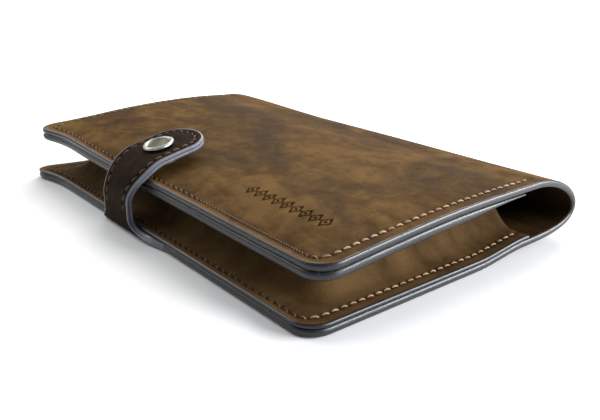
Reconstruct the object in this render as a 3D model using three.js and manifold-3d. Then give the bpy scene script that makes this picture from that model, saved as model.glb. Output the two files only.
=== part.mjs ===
// Leather phone case that opens like a book, shut by a strap with a snap fastener.
// It is closed and lies on its back cover. Millimetres, +X towards the spine,
// +Y along the spine, +Z up. The origin is under the middle of the whole case.
import * as THREE from "three";
import { mergeVertices } from "three/addons/utils/BufferGeometryUtils.js";
import Module from "manifold-3d";

const wasm = await Module();
wasm.setup();

// Case
const LENGTH = 140; // along the spine
const MIDDLE_X = 42.61; // from the front cover's fore edge to the middle of the whole case
const CORNER = 6; // radius of the covers' outer corners
const HIDE = 1.8; // thickness of the outer leather
const GAP = 0.2; // between leathers that are sewn together

// Back cover and its phone pocket
const BACK_FORE = -2.8; // the back cover stands out past the front cover's fore edge
const BACK_FLAT_TO = 50; // the underside is flat up to here
const SPINE_LIFT = 1.6; // how far the back cover rises on its way to the spine
const SPINE_FOOT = 69; // where the back cover meets the spine
const PANEL = 1.1; // thickness of the formed pocket panel
const POCKET_MOUTH = 70; // the pocket is open on the spine side
const POCKET_RISE = 7.9; // height of the formed panel over its sewn rim
const POCKET_RIM = 5.6; // width of the flat sewn rim
const POCKET_SLOPE = 10; // width of the slope from the rim up to the top

// Front cover
const FRONT_SPINE = 71; // where the front cover meets the spine
const FORE_TOP = 15.3; // height of the front cover at its fore edge
const MID_TOP = 18.9; // pull of the curve between fore edge and spine
const SPINE_TOP = 18.6; // height at the spine
const CROWN = 1.4; // how far the middle stands up over the near and far edges
const CROWN_EDGE = 14; // width over which the crown rises
const LINING = 2; // thickness of the front cover's lining
const LINING_GAP = 0.3; // between the front cover's two layers
const LINING_END = 66; // the lining stops short of the spine

// Spine
const SPINE_OUT = 90.3; // outermost point of the spine's middle line
const SPINE_MID = 8.4; // height of that point
const HINGE_TURNS = [30, 90, 150]; // tangent angles where the spine bends

// Strap
const STRAP_Y = 8.2; // middle of the strap
const STRAP_WIDTH = 18.8;
const STRAP_LEATHER = 0.8; // each of its two layers
const STRAP_HALF = STRAP_LEATHER + GAP / 2; // half the thickness of both layers together
const STRAP_FLARE = 10; // how far each side spreads where the strap leaves the cover
const FLARE_HEIGHT = 6.5;
const FOLD_AT = 0.5; // where the arch of the strap is cut, along its curve
const TIP_ROUND = 7; // length of the tab's rounded end
const TIP_X = 20.8;
const TIP_DROOP = 22.45; // height of the tab just before its tip
const TIP_HEIGHT = 23.2;
const RISE_X = -4.2; // the strap stands upright here
const RISE_TOP = 8.5;
const ROOT_X = -4.4; // the strap turns upwards round here
const ARCH_END = 5.5; // from here to the snap the strap is straight
const ARCH_HEIGHT = 19.85;
const STRAIGHT = 6.5;

// Thread and snap fastener
const THREAD = 0.6;
const THREAD_GAP = 0.3;
const SEAM = 3.3; // from the edge to the stitches
const FORE_SEAM = 2.2; // the same at the fore edge
const STRAP_SEAM = 2.2;
const SNAP_X = 9.5;
const SNAP_TILT = THREE.MathUtils.degToRad(13);
const STUD_HOLE = 1;
const CAP_HOLE = 1.45;

const finish = (colour, roughness, metalness = 0) =>
  new THREE.MeshStandardMaterial({ color: colour, roughness, metalness });
const leather = finish(0x6b5138, 0.85);
const darkLeather = finish(0x44301f, 0.85);
const threadFinish = finish(0xc49a6c, 0.7);
const snapFinish = finish(0x9b8d70, 0.35, 1);

// ---- solids ----

function solidOf(geometry) {
  const loose = geometry.index ? geometry.toNonIndexed() : geometry;
  const bare = new THREE.BufferGeometry();
  bare.setAttribute("position", loose.getAttribute("position"));
  const merged = mergeVertices(bare, 1e-4);
  return new wasm.Manifold(
    new wasm.Mesh({
      numProp: 3,
      vertProperties: merged.attributes.position.array,
      triVerts: new Uint32Array(merged.index.array),
    }),
  );
}

function geometryOf(solid) {
  const { vertProperties, triVerts } = solid.getMesh();
  const geometry = new THREE.BufferGeometry();
  geometry.setAttribute("position", new THREE.BufferAttribute(vertProperties, 3));
  geometry.setIndex(new THREE.BufferAttribute(triVerts, 1));
  geometry.computeVertexNormals();
  return geometry;
}

function named(name, geometry, material) {
  const mesh = new THREE.Mesh(geometry, material);
  mesh.name = name;
  return mesh;
}

const smooth = (value) => THREE.MathUtils.smoothstep(value, 0, 1);

// Points along a side-view curve, each with the unit normal on its left.
function walk(curve, from, to, steps) {
  return Array.from({ length: steps + 1 }, (_, i) => {
    const u = from + ((to - from) * i) / steps;
    const tangent = curve.getTangentAt(u);
    return { at: curve.getPointAt(u), left: new THREE.Vector2(-tangent.y, tangent.x) };
  });
}

const beside = ({ at, left }, distance) => at.clone().addScaledVector(left, distance);

// Leather that follows a side-view line, between two distances to its left.
function strip(line, low, high, yMin, yMax) {
  const shape = new THREE.Shape([
    ...line.map((place) => beside(place, low)),
    ...line.map((place) => beside(place, high)).reverse(),
  ]);
  const geometry = new THREE.ExtrudeGeometry(shape, { depth: yMax - yMin, bevelEnabled: false });
  return geometry.rotateX(Math.PI / 2).translate(0, yMax, 0);
}

// Leather laid over a rectangle: its top follows top(x, y), its underside lies below it.
function sheet(xMin, xMax, top, thickness, cellsX, cellsY) {
  const geometry = new THREE.BoxGeometry(1, 1, 1, cellsX, cellsY, 1);
  const points = geometry.getAttribute("position");
  for (let i = 0; i < points.count; i++) {
    const x = xMin + (points.getX(i) + 0.5) * (xMax - xMin);
    const y = points.getY(i) * LENGTH;
    points.setXYZ(i, x, y, top(x, y) - (points.getZ(i) < 0 ? thickness : 0));
  }
  return geometry;
}

// The column above and below a cover's outline, with its two fore corners rounded.
function coverColumn(fore) {
  const half = LENGTH / 2;
  const shape = new THREE.Shape();
  shape.moveTo(SPINE_OUT + 10, -half);
  shape.lineTo(SPINE_OUT + 10, half);
  shape.lineTo(fore + CORNER, half);
  shape.absarc(fore + CORNER, half - CORNER, CORNER, Math.PI / 2, Math.PI, false);
  shape.absarc(fore + CORNER, CORNER - half, CORNER, Math.PI, 1.5 * Math.PI, false);
  const options = { depth: 60, bevelEnabled: false, curveSegments: 6 };
  return solidOf(new THREE.ExtrudeGeometry(shape, options).translate(0, 0, -20));
}

// ---- shape of the covers ----

const LIFT_RUN = SPINE_FOOT - BACK_FLAT_TO;
const backUnder = (x) => SPINE_LIFT * smooth((x - BACK_FLAT_TO) / LIFT_RUN);

const edgeDistance = (y) => LENGTH / 2 - Math.abs(y);

function pocketTop(x, y) {
  const near = smooth((edgeDistance(y) - POCKET_RIM) / POCKET_SLOPE);
  const fore = smooth((x - BACK_FORE - POCKET_RIM) / POCKET_SLOPE);
  return backUnder(x) + HIDE + GAP + PANEL + POCKET_RISE * near * fore;
}

function frontTop(x, y) {
  const t = x / FRONT_SPINE;
  const edge = FORE_TOP * (1 - t) ** 2 + 2 * MID_TOP * t * (1 - t) + SPINE_TOP * t ** 2;
  const across = smooth(x / CROWN_EDGE) * smooth((FRONT_SPINE - x) / CROWN_EDGE);
  return edge + CROWN * across * smooth(edgeDistance(y) / CROWN_EDGE);
}

// Middle line of the outer leather round the spine, from the back cover to the front cover.
const vec = (x, z) => new THREE.Vector2(x, z);
const spine = new THREE.CurvePath();
const footHeight = SPINE_LIFT + HIDE / 2;
const headHeight = SPINE_TOP - HIDE / 2;
spine.add(
  new THREE.CubicBezierCurve(
    vec(SPINE_FOOT, footHeight),
    vec(SPINE_FOOT + 10, footHeight),
    vec(SPINE_OUT, footHeight + 0.4),
    vec(SPINE_OUT, SPINE_MID),
  ),
);
spine.add(
  new THREE.CubicBezierCurve(
    vec(SPINE_OUT, SPINE_MID),
    vec(SPINE_OUT, SPINE_MID + 3.6),
    vec(FRONT_SPINE + 11, headHeight),
    vec(FRONT_SPINE, headHeight),
  ),
);

// How far along the spine's line it has turned through an angle.
function turned(degrees) {
  const cosine = Math.cos(THREE.MathUtils.degToRad(degrees));
  let low = 0;
  let high = 1;
  for (let i = 0; i < 40; i++) {
    const middle = (low + high) / 2;
    if (spine.getTangentAt(middle).x > cosine) low = middle;
    else high = middle;
  }
  return low;
}

const bends = HINGE_TURNS.map(turned);
const SLIT = 0.3 / spine.getLength(); // the cut at a bend, as a share of the spine's length

function spinePart(from, to, steps) {
  return strip(walk(spine, from, to, steps), -HIDE / 2, HIDE / 2, -LENGTH / 2, LENGTH / 2);
}

// ---- shape of the strap ----

// Middle line of the strap: out of the back cover, up, over the fore edge and along the front.
const slope = Math.tan(SNAP_TILT);
const riseTop = vec(RISE_X, RISE_TOP);
const archEnd = vec(ARCH_END, ARCH_HEIGHT);
const flatEnd = vec(ARCH_END + STRAIGHT, ARCH_HEIGHT + STRAIGHT * slope);
const root = new THREE.CubicBezierCurve(
  vec(BACK_FORE - 0.3, STRAP_HALF + 0.05),
  vec(ROOT_X, STRAP_HALF + 0.05),
  vec(RISE_X, RISE_TOP - 5.6),
  riseTop,
);
const arch = new THREE.CubicBezierCurve(
  riseTop,
  vec(RISE_X, RISE_TOP + 3),
  vec(archEnd.x - 6.3, archEnd.y - 6.3 * slope),
  archEnd,
);
const tip = new THREE.CubicBezierCurve(
  flatEnd,
  vec(flatEnd.x + 3.5, flatEnd.y + 3.5 * slope),
  vec(TIP_X - 4, TIP_DROOP),
  vec(TIP_X, TIP_HEIGHT),
);
const FOLD_SLIT = 0.3 / arch.getLength();

const riserLine = [...walk(root, 0, 1, 7), ...walk(arch, 0, FOLD_AT - FOLD_SLIT / 2, 4).slice(1)];
const tabLine = [
  ...walk(arch, FOLD_AT + FOLD_SLIT / 2, 1, 4),
  ...walk(new THREE.LineCurve(archEnd, flatEnd), 0, 1, 1).slice(1),
  ...walk(tip, 0, 1, 4).slice(1),
];

// The left of the strap's line is its outer side all the way, so distances to it are positive.
const OUTER = [GAP / 2, STRAP_HALF];
const INNER = [-STRAP_HALF, -GAP / 2];

// The riser seen from the fore edge: straight sides that flare out at the root.
function riserColumn() {
  const half = STRAP_WIDTH / 2;
  const foot = half + STRAP_FLARE;
  const shape = new THREE.Shape();
  shape.moveTo(-foot, -1);
  shape.lineTo(foot, -1);
  shape.lineTo(foot, 1);
  shape.quadraticCurveTo(half, 1, half, 1 + FLARE_HEIGHT);
  shape.lineTo(half, 40);
  shape.lineTo(-half, 40);
  shape.lineTo(-half, 1 + FLARE_HEIGHT);
  shape.quadraticCurveTo(-half, 1, -foot, 1);
  const options = { depth: 60, bevelEnabled: false, curveSegments: 6 };
  const column = new THREE.ExtrudeGeometry(shape, options);
  return solidOf(column.rotateX(Math.PI / 2).rotateZ(Math.PI / 2).translate(-30, STRAP_Y, 0));
}

// The tab seen from above: straight sides and a rounded end.
function tabColumn() {
  const half = STRAP_WIDTH / 2;
  const shape = new THREE.Shape();
  shape.moveTo(-20, half);
  shape.lineTo(-20, -half);
  shape.lineTo(TIP_X - TIP_ROUND, -half);
  shape.absellipse(TIP_X - TIP_ROUND, 0, TIP_ROUND, half, -Math.PI / 2, Math.PI / 2, false);
  const options = { depth: 60, bevelEnabled: false, curveSegments: 14 };
  return solidOf(new THREE.ExtrudeGeometry(shape, options).translate(0, STRAP_Y, -10));
}

function strapLayer(line, [low, high], column, spread) {
  const half = STRAP_WIDTH / 2 + spread;
  return solidOf(strip(line, low, high, STRAP_Y - half, STRAP_Y + half)).intersect(column);
}

// ---- snap fastener: profiles of radius and height over the front cover's surface ----

const CAP_PROFILE = [
  [0, 1.95], [1.1, 1.95], [1.1, 4.5], [4.05, 4.5], [4.3, 4.75], [4.25, 5.15], [3.95, 5.4],
  [3.5, 5.4], [3.1, 5.15], [2.7, 5.05], [1.4, 5.2], [0, 5.25],
];
const SOCKET_PROFILE = [
  [2.35, 0.75], [4.2, 0.75], [4.5, 1], [4.5, 2], [4.2, 2.25], [1.45, 2.25], [1.45, 1.95],
  [2.35, 1.95],
];
const STUD_PROFILE = [
  [0, 1.2], [0.85, 1.2], [0.85, 0.2], [4.4, 0.2], [4.4, 0.5], [1.1, 0.5], [1.1, 1.2],
  [1.65, 1.3], [1.65, 1.5], [1.2, 1.68], [0, 1.68],
];
const POST_PROFILE = [
  [0, -4.85], [3.6, -4.85], [3.9, -4.6], [3.8, -4.4], [0.5, -4.4], [0.5, 0.85], [0, 0.85],
];
const SPRING_RADIUS = 1.8;
const SPRING_WIRE = 0.2;
const SPRING_HEIGHT = 0.95;

function turnedPart(profile, closed) {
  const points = profile.map(([radius, height]) => vec(radius, height));
  if (closed) points.push(points[0].clone());
  return new THREE.LatheGeometry(points, 28).rotateX(Math.PI / 2);
}

// An open ring of wire, as the socket's spring is.
function springRing() {
  const start = THREE.MathUtils.degToRad(20);
  const points = Array.from({ length: 13 }, (_, i) => {
    const angle = start + ((2 * Math.PI - 2 * start) * i) / 12;
    return new THREE.Vector3(Math.cos(angle), Math.sin(angle), 0).multiplyScalar(SPRING_RADIUS);
  });
  return tube(points, SPRING_WIRE, 24).translate(0, 0, SPRING_HEIGHT);
}

const snapFrame = new THREE.Matrix4()
  .makeRotationY(-SNAP_TILT)
  .setPosition(SNAP_X, STRAP_Y, frontTop(SNAP_X, STRAP_Y));

function snapHole(radius) {
  const drill = new THREE.CylinderGeometry(radius, radius, 30, 20);
  return solidOf(drill.rotateX(Math.PI / 2).applyMatrix4(snapFrame));
}

// ---- thread ----

function tube(points, radius, steps) {
  const section = new THREE.Shape(
    Array.from({ length: 6 }, (_, i) => {
      const angle = (i * Math.PI) / 3;
      return vec(radius * Math.cos(angle), radius * Math.sin(angle));
    }),
  );
  const extrudePath = new THREE.CatmullRomCurve3(points);
  return new THREE.ExtrudeGeometry(section, { steps, extrudePath, bevelEnabled: false });
}

const THREAD_LIFT = THREAD_GAP + THREAD / 2;

// The seam along a cover's near, fore and far edges, lying on top(x, y).
function coverSeam(fore, spineEnd, top) {
  const side = LENGTH / 2 - SEAM;
  const foreLine = fore + FORE_SEAM;
  const bend = CORNER - FORE_SEAM;
  const plan = [];
  for (let x = spineEnd; x > foreLine + bend; x -= 5) plan.push([x, -side]);
  for (const degrees of [0, 22.5, 45, 67.5, 90]) {
    const angle = THREE.MathUtils.degToRad(degrees);
    plan.push([foreLine + bend * (1 - Math.sin(angle)), -side + bend * (1 - Math.cos(angle))]);
  }
  const corner = side - bend;
  for (let y = -corner + 8; y < -1; y += 8) plan.push([foreLine, y]);
  const mirrored = plan.map(([x, y]) => [x, -y]).reverse();
  const route = [...plan, ...mirrored].map(
    ([x, y]) => new THREE.Vector3(x, y, top(x, y) + THREAD_LIFT),
  );
  return tube(route, THREAD / 2, route.length * 2);
}

// A seam on the outside of the strap, through places on its line, each with a distance across.
function strapSeam(plan, steps) {
  const route = plan.map(([place, across]) => {
    const { x, y: z } = beside(place, STRAP_HALF + THREAD_LIFT);
    return new THREE.Vector3(x, STRAP_Y + across, z);
  });
  return tube(route, THREAD / 2, steps);
}

const seamAcross = STRAP_WIDTH / 2 - STRAP_SEAM;
const tipHeight = (x) => tip.getPointAt((x - flatEnd.x) / tip.getLength()).y;
const riserSeam = (side) => strapSeam(riserLine.slice(4).map((p) => [p, side * seamAcross]), 12);

// The tab's seam runs along one side, round the tip and back along the other.
function tabSeam() {
  const straight = tabLine.slice(0, -3);
  const near = straight.map((place) => [place, -seamAcross]);
  const far = straight.map((place) => [place, seamAcross]).reverse();
  const turn = [-60, -30, 0, 30, 60].map((degrees) => {
    const angle = THREE.MathUtils.degToRad(degrees);
    const x = TIP_X - TIP_ROUND + (TIP_ROUND - STRAP_SEAM) * Math.cos(angle);
    const place = { at: vec(x, tipHeight(x)), left: vec(0, 1) };
    return [place, seamAcross * Math.sin(angle)];
  });
  return strapSeam([...near, ...turn, ...far], 40);
}

// ---- assembly ----

const phoneCase = new THREE.Group();
phoneCase.position.x = -MIDDLE_X;
const snap = new THREE.Group();
snap.applyMatrix4(snapFrame);
phoneCase.add(snap);

function addBackCover() {
  const rising = Array.from({ length: 7 }, (_, i) => BACK_FLAT_TO + (LIFT_RUN * i) / 7);
  const line = [
    ...[BACK_FORE, ...rising].map((x) => ({
      at: vec(x, backUnder(x) + HIDE / 2),
      left: vec(0, 1),
    })),
    ...walk(spine, 0, bends[0] - SLIT / 2, 4),
  ];
  const column = coverColumn(BACK_FORE);
  const back = solidOf(strip(line, -HIDE / 2, HIDE / 2, -LENGTH / 2, LENGTH / 2));
  phoneCase.add(named("back_cover", geometryOf(back.intersect(column)), leather));
  const panel = solidOf(sheet(BACK_FORE, POCKET_MOUTH, pocketTop, PANEL, 16, 26));
  phoneCase.add(named("pocket_panel", geometryOf(panel.intersect(column)), leather));
  const seam = coverSeam(BACK_FORE, POCKET_MOUTH - 2, pocketTop);
  phoneCase.add(named("pocket_seam_thread", seam, threadFinish));
}

function addSpine() {
  ["spine_lower", "spine_upper"].forEach((name, i) => {
    const part = spinePart(bends[i] + SLIT / 2, bends[i + 1] - SLIT / 2, 7);
    phoneCase.add(named(name, part, leather));
  });
}

function addFrontCover() {
  const column = coverColumn(0);
  const hole = snapHole(STUD_HOLE);
  const liningTop = (x, y) => frontTop(x, y) - HIDE - LINING_GAP;
  const flat = solidOf(sheet(0, FRONT_SPINE + 0.2, frontTop, HIDE, 14, 16));
  const bent = solidOf(spinePart(bends[2] + SLIT / 2, 1, 5));
  const front = flat.add(bent).intersect(column).subtract(hole);
  phoneCase.add(named("front_cover", geometryOf(front), leather));
  const lining = solidOf(sheet(0, LINING_END, liningTop, LINING, 14, 16));
  const linedFront = lining.intersect(column).subtract(hole);
  phoneCase.add(named("front_lining", geometryOf(linedFront), leather));
  const seam = coverSeam(0, FRONT_SPINE + 1, frontTop);
  phoneCase.add(named("front_seam_thread", seam, threadFinish));
  snap.add(named("snap_stud", turnedPart(STUD_PROFILE), snapFinish));
  snap.add(named("snap_post", turnedPart(POST_PROFILE), snapFinish));
}

function addStrap() {
  const layers = { leather: OUTER, lining: INNER };
  const riser = riserColumn();
  const tab = tabColumn().subtract(snapHole(CAP_HOLE));
  for (const [layer, offsets] of Object.entries(layers)) {
    const rising = strapLayer(riserLine, offsets, riser, STRAP_FLARE);
    phoneCase.add(named(`strap_riser_${layer}`, geometryOf(rising), darkLeather));
    const lying = strapLayer(tabLine, offsets, tab, 0);
    phoneCase.add(named(`strap_tab_${layer}`, geometryOf(lying), darkLeather));
  }
  phoneCase.add(named("strap_thread_near", riserSeam(-1), threadFinish));
  phoneCase.add(named("strap_thread_far", riserSeam(1), threadFinish));
  phoneCase.add(named("strap_tab_thread", tabSeam(), threadFinish));
  snap.add(named("snap_cap", turnedPart(CAP_PROFILE), snapFinish));
  snap.add(named("snap_socket", turnedPart(SOCKET_PROFILE, true), snapFinish));
  snap.add(named("snap_spring", springRing(), snapFinish));
}

addBackCover();
addSpine();
addFrontCover();
addStrap();

export default phoneCase;
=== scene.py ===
"""Leather phone case: the looks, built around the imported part.

Shapes are worked out in millimetres, with x measured from the front cover's fore edge,
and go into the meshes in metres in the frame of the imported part.
"""
import math

import bmesh
import bpy
import numpy as np
from mathutils import Matrix, Vector


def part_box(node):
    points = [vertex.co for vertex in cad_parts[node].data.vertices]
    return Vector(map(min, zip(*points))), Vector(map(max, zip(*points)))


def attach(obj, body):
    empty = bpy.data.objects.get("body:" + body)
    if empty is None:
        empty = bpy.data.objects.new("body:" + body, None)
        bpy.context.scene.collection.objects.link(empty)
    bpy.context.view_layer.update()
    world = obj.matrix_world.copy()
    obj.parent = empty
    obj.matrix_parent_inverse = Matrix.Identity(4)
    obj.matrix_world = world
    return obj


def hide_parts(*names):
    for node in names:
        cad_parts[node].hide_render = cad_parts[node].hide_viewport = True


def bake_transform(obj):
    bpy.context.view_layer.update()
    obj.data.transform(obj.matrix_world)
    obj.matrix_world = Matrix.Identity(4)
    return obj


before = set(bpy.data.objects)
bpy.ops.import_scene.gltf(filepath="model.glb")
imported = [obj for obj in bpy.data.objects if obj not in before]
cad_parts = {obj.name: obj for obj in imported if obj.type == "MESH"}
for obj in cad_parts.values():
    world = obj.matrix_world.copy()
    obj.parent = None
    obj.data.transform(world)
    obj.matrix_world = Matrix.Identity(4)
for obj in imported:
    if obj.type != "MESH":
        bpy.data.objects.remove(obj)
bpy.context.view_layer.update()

MM = 0.001
FORE_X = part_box("front_cover")[0].x  # the front cover's fore edge, in metres
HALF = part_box("front_cover")[1].y / MM  # half the case's length

# Covers and spine. A foot, top or end is a place; a hide, panel or lining is a thickness
CORNER = 6.0
HIDE = 1.8
BACK_FORE = -2.8
BACK_FLAT_TO = 50.0
SPINE_LIFT = 1.6
SPINE_FOOT = 69.0
PANEL = 1.1
POCKET_MOUTH = 70.0
POCKET_RISE = 7.9
POCKET_RIM = 5.6
POCKET_SLOPE = 10.0
FRONT_SPINE = 71.0
FORE_TOP, MID_TOP, SPINE_TOP = 15.3, 18.9, 18.6
CROWN, CROWN_EDGE = 1.4, 14.0
LINING = 2.0
LINING_GAP = 0.05
LINING_END = 66.0
TAPER, TAPER_SHARE = 26.0, 0.7  # the lining thins by this share before its spine end
SPINE_OUT, SPINE_MID = 90.3, 8.4
BEND_START, BEND_ENDS = (78.1, 2.74), [(89.84, 6.65), (89.77, 10.12), (73.2, 17.62)]
INNER, SETTLE = (9.0, 9.0), 26.0  # where a cover's inner grid starts, and is even again
PULL, PULL_REACH = 5.4, 22.0  # the far fore corners of both covers stand out

# Strap
STRAP_Y = 8.2
STRAP_HALF_WIDTH = 9.4
STRAP_LAYER = 0.9
STRAP_FLARE, FLARE_LENGTH = 15.0, 4.8
FAR_FLARE = 0.4  # the far side flares by this share
WAIST_NEAR, WAIST_FAR = 3.4, 0.8  # how far the strap's sides come in where it stands
WAIST_END, WAIST_FADE = 20, 11  # along the strap from its foot
SNAP_X = 9.5
SNAP_TILT = math.radians(13)
SNUG_DEPTH, SNUG_RADIUS, SNUG_WIDTH = 0.3, 4.2, 1.6
STRAP_PITCH, TIP_RADIUS = 2.7, 7.0
STRAP_THREAD = (0.22, 0.06, 0.12)  # radius, rise and paleness
STRAP_WEAR = 0.35

# Edges and seams
EDGE, STRAP_EDGE = 0.55, 0.3
SEAM, FORE_SEAM, STRAP_SEAM = 3.3, 2.2, 2.2
CREASE, GROOVE = 1.35, 0.35  # the crease's inner side, and half the seam's groove
SIDE_STITCHES, FORE_STITCHES, STEPS = 26, 50, 4  # STEPS is grid steps to a stitch
ARC_STEPS = 8


def smooth(v):
    v = np.clip(v, 0.0, 1.0)
    return v * v * (3 - 2 * v)


def bump_at(d, middle, width):
    return np.exp(-(((d - middle) / width) ** 2))


def ripple(x, y, seed, size, count=6):
    """A soft random unevenness from -1 to 1, with waves about size long."""
    rng = np.random.default_rng(seed)
    total = np.zeros(np.broadcast(x, y).shape)
    for _ in range(count):
        turn, phase = rng.uniform(0, 2 * math.pi, 2)
        k = 2 * math.pi / (size * rng.uniform(0.7, 1.6))
        total += np.sin(k * (x * math.cos(turn) + y * math.sin(turn)) + phase)
    return total / count


# ---- surfaces of the covers ----

def edge_distance(y):
    return HALF - np.abs(y)


def back_under(x):
    return SPINE_LIFT * smooth((x - BACK_FLAT_TO) / (SPINE_FOOT - BACK_FLAT_TO))


def pocket_top(x, y):
    near = smooth((edge_distance(y) - POCKET_RIM) / POCKET_SLOPE)
    fore = smooth((x - BACK_FORE - POCKET_RIM) / POCKET_SLOPE)
    worn = 0.16 * ripple(x, y, 5, 22) * near * fore
    return back_under(x) + HIDE + PANEL + 0.05 + POCKET_RISE * near * fore + worn


def twist(y):
    """The front cover lies a little higher at its far end than at its near end."""
    return 1.2 * smooth((y - 20) / 50) - 0.3 * smooth(-y / 60)


def front_top(x, y):
    t = x / FRONT_SPINE
    edge = FORE_TOP * (1 - t) ** 2 + 2 * MID_TOP * t * (1 - t) + SPINE_TOP * t * t
    across = smooth(x / CROWN_EDGE) * smooth((FRONT_SPINE - x) / CROWN_EDGE)
    soft = 0.15 * ripple(x, y, 3, 42) * smooth((FRONT_SPINE - x) / CROWN_EDGE)
    bow = 1.1 * smooth((y - 15) / 50) * np.sin(math.pi * np.clip(t, 0, 1))
    return edge + CROWN * across * smooth(edge_distance(y) / CROWN_EDGE) + soft + twist(y) + bow


def pulled(x, y, z, fore):
    """Draws the far fore corner of a cover outwards, off its fore edge and its far end."""
    near = np.clip((fore + PULL_REACH - x) / PULL_REACH, 0, 1)
    far = np.clip((y - HALF + PULL_REACH) / PULL_REACH, 0, 1)
    out = PULL * (near * far) ** 3
    return x - out, y + 0.9 * out, z


def bezier(*points):
    p = np.array(points, float)
    t = np.linspace(0, 1, 121)[:, None]
    s = 1 - t
    return s**3 * p[0] + 3 * s * s * t * p[1] + 3 * s * t * t * p[2] + t**3 * p[3]


class Line:
    """A side-view line of (x, z) points, walked by length, with the direction to its left."""

    def __init__(self, *curves):
        points = np.concatenate([c if i == 0 else c[1:] for i, c in enumerate(curves)])
        steps = np.linalg.norm(np.diff(points, axis=0), axis=1)
        self.s = np.concatenate([[0], np.cumsum(steps)])
        self.length = self.s[-1]
        self.points = points
        tangent = np.gradient(points, self.s, axis=0)
        tangent /= np.linalg.norm(tangent, axis=1)[:, None]
        self.left = np.stack([-tangent[:, 1], tangent[:, 0]], 1)

    def at(self, s):
        s = np.asarray(s, float)
        point = [np.interp(s, self.s, self.points[:, i]) for i in (0, 1)]
        left = [np.interp(s, self.s, self.left[:, i]) for i in (0, 1)]
        return point, left

    def nearest(self, x, z):
        gaps = np.linalg.norm(self.points - np.array([x, z]), axis=1)
        return float(self.s[gaps.argmin()])


FOOT, HEAD = SPINE_LIFT + HIDE / 2, SPINE_TOP - HIDE / 2
spine = Line(
    bezier((SPINE_FOOT, FOOT), (SPINE_FOOT + 10, FOOT),
           (SPINE_OUT, FOOT + 0.4), (SPINE_OUT, SPINE_MID)),
    bezier((SPINE_OUT, SPINE_MID), (SPINE_OUT, SPINE_MID + 3.6),
           (FRONT_SPINE + 11, HEAD), (FRONT_SPINE, HEAD)),
)


def on_spine(s, v, f, lift):
    """A point of the outer hide round the spine; f is 1 on its outside."""
    (x, z), (left_x, left_z) = spine.at(s)
    out = (f - 0.5) * HIDE + lift
    return x - left_x * out, v, z - left_z * out + twist(v) * smooth(s / spine.length)


def on_back(u, v, f, lift):
    """A point of the back cover's hide; f is 1 on its inside."""
    x, y, z = on_spine(np.maximum(u - SPINE_FOOT, 0), v, 1 - f, -lift)
    flat = u <= SPINE_FOOT
    z = np.where(flat, back_under(u) + HIDE * f + lift, z)
    return pulled(np.where(flat, u, x), y, z, BACK_FORE)


def on_front(u, v, f, lift):
    """A point of the front cover's hide; f is 1 on its outside."""
    x, y, z = on_spine(spine.length - np.maximum(u - FRONT_SPINE, 0), v, f, lift)
    flat = u <= FRONT_SPINE
    top = front_top(np.minimum(u, FRONT_SPINE), v)
    z = np.where(flat, top - HIDE * (1 - f) + lift, z)
    return pulled(np.where(flat, u, x), y, z, 0.0)


def on_lining(u, v, f, lift):
    """The front cover's lining; f is 1 on its underside."""
    top = front_top(u, v) - HIDE - LINING_GAP
    thickness = LINING * (1 - TAPER_SHARE * smooth((u - LINING_END + TAPER) / TAPER))
    return pulled(u, v, top - thickness * f - lift, 0.0)


def on_panel(u, v, f, lift):
    """A point of the pocket's panel; f is 1 on its outside."""
    return pulled(u, v, pocket_top(u, v) - PANEL * (1 - f) + lift, BACK_FORE)


SLOPE = math.tan(SNAP_TILT)
ARCH_END = (5.5, 19.85)
FLAT_END = (12.0, ARCH_END[1] + 6.5 * SLOPE)
strap = Line(
    bezier((-2.8, 0.95), (-4.4, 0.95), (-4.2, 2.9), (-4.2, 8.5)),
    bezier((-4.2, 8.5), (-4.2, 11.5), (ARCH_END[0] - 6.3, ARCH_END[1] - 6.3 * SLOPE), ARCH_END),
    bezier(ARCH_END, (7.7, ARCH_END[1] + 2.2 * SLOPE), (9.8, ARCH_END[1] + 4.3 * SLOPE), FLAT_END),
    bezier(FLAT_END, (15.5, FLAT_END[1] + 3.5 * SLOPE), (16.8, 22.45), (20.8, 23.2)),
)
STRAP_SPLIT = strap.nearest(-4.2, 8.0)


def snug(x, v):
    """How far the strap's leather is drawn in round the snap."""
    radius = np.hypot((x - SNAP_X) / math.cos(SNAP_TILT), v)
    return SNUG_DEPTH * bump_at(radius, SNUG_RADIUS, SNUG_WIDTH)


def strap_place(sign):
    """Places points of the strap's outer layer (sign 1) or inner layer (sign -1)."""
    def place(u, v, f, lift):
        s = strap.length - u
        (x, z), (left_x, left_z) = strap.at(s)
        flare = STRAP_FLARE * np.clip(1 - s / FLARE_LENGTH, 0, 1) ** 3
        flare = flare * np.where(v < 0, 1.0, FAR_FLARE)
        waist = np.where(v < 0, WAIST_NEAR, WAIST_FAR) * smooth((WAIST_END - s) / WAIST_FADE)
        side = np.sign(v) * (flare - waist) * smooth(np.abs(v) / (STRAP_HALF_WIDTH - 2.6))
        cup = 0.12 * (v / STRAP_HALF_WIDTH) ** 2 * smooth((x + 2) / 8)
        out = sign * (0.01 + STRAP_LAYER * f + lift) - snug(x, v) - cup
        out = out + 0.05 * ripple(u, v, 11, 14)
        return x + left_x * out, STRAP_Y + v + side, z + left_z * out
    return place


# ---- meshes ----

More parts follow.
